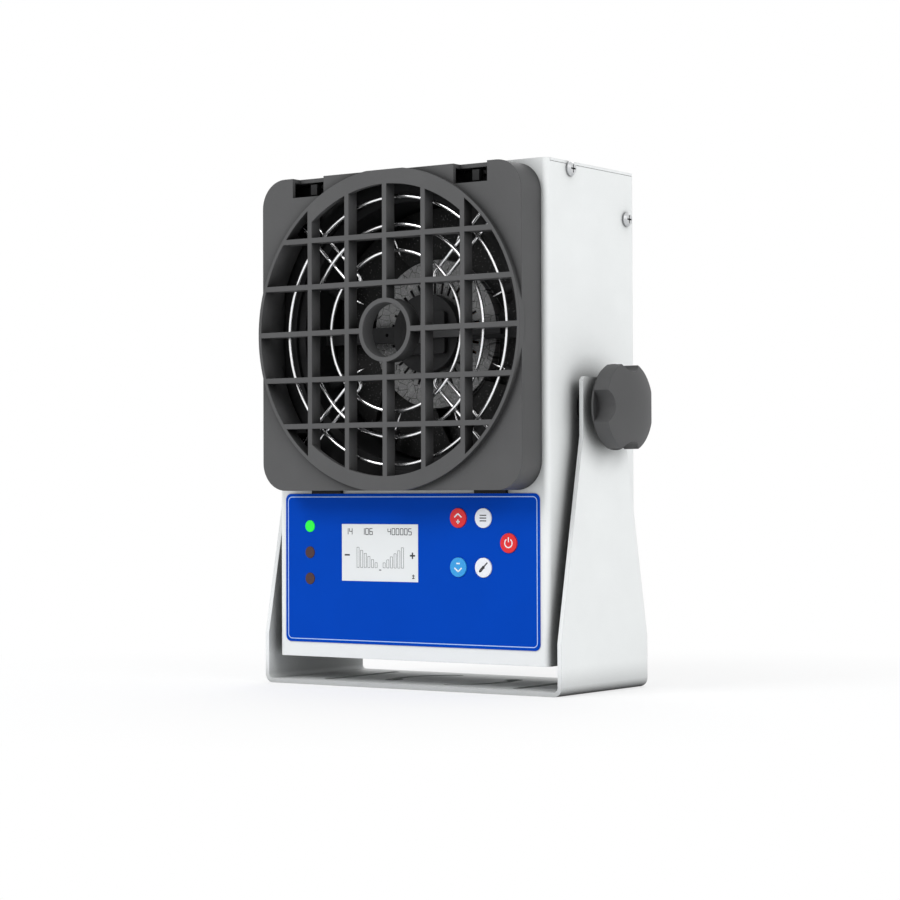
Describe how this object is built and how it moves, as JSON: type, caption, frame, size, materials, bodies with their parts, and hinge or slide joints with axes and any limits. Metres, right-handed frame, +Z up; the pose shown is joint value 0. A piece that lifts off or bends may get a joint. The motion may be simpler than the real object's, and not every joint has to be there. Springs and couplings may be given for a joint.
{
  "type": "ionizing blower",
  "caption": "Benchtop ionizing air blower: white sheet-steel housing on a tilting U yoke with side knobs, dark square push-on grille, wire fan guard, blue control panel and rear filter.",
  "frame": {"origin": "middle of the yoke's footprint, on the bench surface, straight below the tilt axis", "axes": "+X along the tilt axis to the viewer's right when facing the outlet, +Y from the outlet towards the intake, +Z up"},
  "size_m": [0.194, 0.1014, 0.2275],
  "materials": {
    "powder_coat": "fine textured powder coat",
    "zinc_steel": "zinc plated",
    "chrome_wire": "bright plated",
    "grey_plastic": "fine grain",
    "black_plastic": "fine grain",
    "fan_plastic": "glass filled",
    "lever_plastic": "smooth",
    "film_blue": "satin film",
    "window_clear": "clear film",
    "display_glass": "display",
    "key_red": "satin",
    "key_white": "satin",
    "key_light_blue": "satin",
    "lamp_green": "clear moulded",
    "lamp_red": "clear moulded",
    "board": "circuit board",
    "copper": "enamelled winding",
    "brass": "plain",
    "foam": "open cell"
  },
  "bodies": {
    "yoke_body": {"yoke": "powder_coat", "knob_washers": "zinc_steel"},
    "housing_body": {"tilt_spacers": "black_plastic", "pivot_nuts": "zinc_steel", "front_shell": "powder_coat", "rear_shell": "powder_coat", "side_screws": "zinc_steel", "grille_base": "black_plastic", "wire_guard": "chrome_wire", "guard_screws": "zinc_steel", "emitter_frame": "black_plastic", "emitter_needles": "chrome_wire", "brush_motor": "black_plastic", "fan_frame": "black_plastic", "fan_stator": "copper", "fan_bearings": "zinc_steel", "intake_ring": "black_plastic", "filter_base": "black_plastic", "filter_screws": "zinc_steel", "panel_film": "film_blue", "lcd_window": "window_clear", "lcd_module": "display_glass", "control_board": "board", "board_posts": "zinc_steel", "key_switches": "black_plastic", "lamp_green": "lamp_green", "lamp_red_upper": "lamp_red", "lamp_red_lower": "lamp_red", "high_voltage_supply": "black_plastic", "mains_inlet": "black_plastic", "inlet_pins": "zinc_steel", "switch_bezel": "black_plastic", "ground_stud": "brass"},
    "grille_body": {"front_grille": "grey_plastic"},
    "filter_body": {"filter_cover": "black_plastic", "filter_foam": "foam"},
    "impeller_body": {"fan_impeller": "fan_plastic", "fan_rotor_ring": "zinc_steel", "fan_shaft": "zinc_steel"},
    "brush_body": {"brush_arm": "lever_plastic", "brush_tuft": "black_plastic"},
    "left_knob_body": {"knob_left": "grey_plastic", "stud_left": "zinc_steel"},
    "right_knob_body": {"knob_right": "grey_plastic", "stud_right": "zinc_steel"},
    "up_key_body": {"key_up": "key_red"},
    "menu_key_body": {"key_menu": "key_white"},
    "power_key_body": {"key_power": "key_red"},
    "down_key_body": {"key_down": "key_light_blue"},
    "brush_key_body": {"key_brush": "key_white"},
    "rocker_body": {"switch_rocker": "black_plastic"}
  },
  "joints": [
    {"name": "tilt", "type": "hinge", "parent": "yoke_body", "child": "housing_body", "pos_m": [0, 0, 0.1224], "axis": [1, 0, 0], "range_deg": [-90, 90]},
    {"name": "left_knob_turn", "type": "hinge", "parent": "housing_body", "child": "left_knob_body", "pos_m": [-0.088, 0, 0.1224], "axis": [-1, 0, 0], "range_deg": [0, 360]},
    {"name": "right_knob_turn", "type": "hinge", "parent": "housing_body", "child": "right_knob_body", "pos_m": [0.088, 0, 0.1224], "axis": [1, 0, 0], "range_deg": [0, 360]},
    {"name": "fan_spin", "type": "hinge", "parent": "housing_body", "child": "impeller_body", "pos_m": [0, 0, 0.1564], "axis": [0, 1, 0], "continuous": true},
    {"name": "brush_sweep", "type": "hinge", "parent": "housing_body", "child": "brush_body", "pos_m": [0, -0.02, 0.1564], "axis": [0, 1, 0], "continuous": true},
    {"name": "grille_off", "type": "slide", "parent": "housing_body", "child": "grille_body", "axis": [0, -1, 0], "range_m": [0, 0.03]},
    {"name": "filter_off", "type": "slide", "parent": "housing_body", "child": "filter_body", "axis": [0, 1, 0], "range_m": [0, 0.02]},
    {"name": "up_key_press", "type": "slide", "parent": "housing_body", "child": "up_key_body", "axis": [0, 1, 0], "range_m": [0, 0.0004], "stiffness_N_per_m": 800, "springref_m": -0.001},
    {"name": "menu_key_press", "type": "slide", "parent": "housing_body", "child": "menu_key_body", "axis": [0, 1, 0], "range_m": [0, 0.0004], "stiffness_N_per_m": 800, "springref_m": -0.001},
    {"name": "power_key_press", "type": "slide", "parent": "housing_body", "child": "power_key_body", "axis": [0, 1, 0], "range_m": [0, 0.0004], "stiffness_N_per_m": 800, "springref_m": -0.001},
    {"name": "down_key_press", "type": "slide", "parent": "housing_body", "child": "down_key_body", "axis": [0, 1, 0], "range_m": [0, 0.0004], "stiffness_N_per_m": 800, "springref_m": -0.001},
    {"name": "brush_key_press", "type": "slide", "parent": "housing_body", "child": "brush_key_body", "axis": [0, 1, 0], "range_m": [0, 0.0004], "stiffness_N_per_m": 800, "springref_m": -0.001},
    {"name": "mains_switch_rock", "type": "hinge", "parent": "housing_body", "child": "rocker_body", "pos_m": [0, 0.0345, 0.0395], "axis": [0, 0, 1], "range_deg": [-16, 0]}
  ]
}
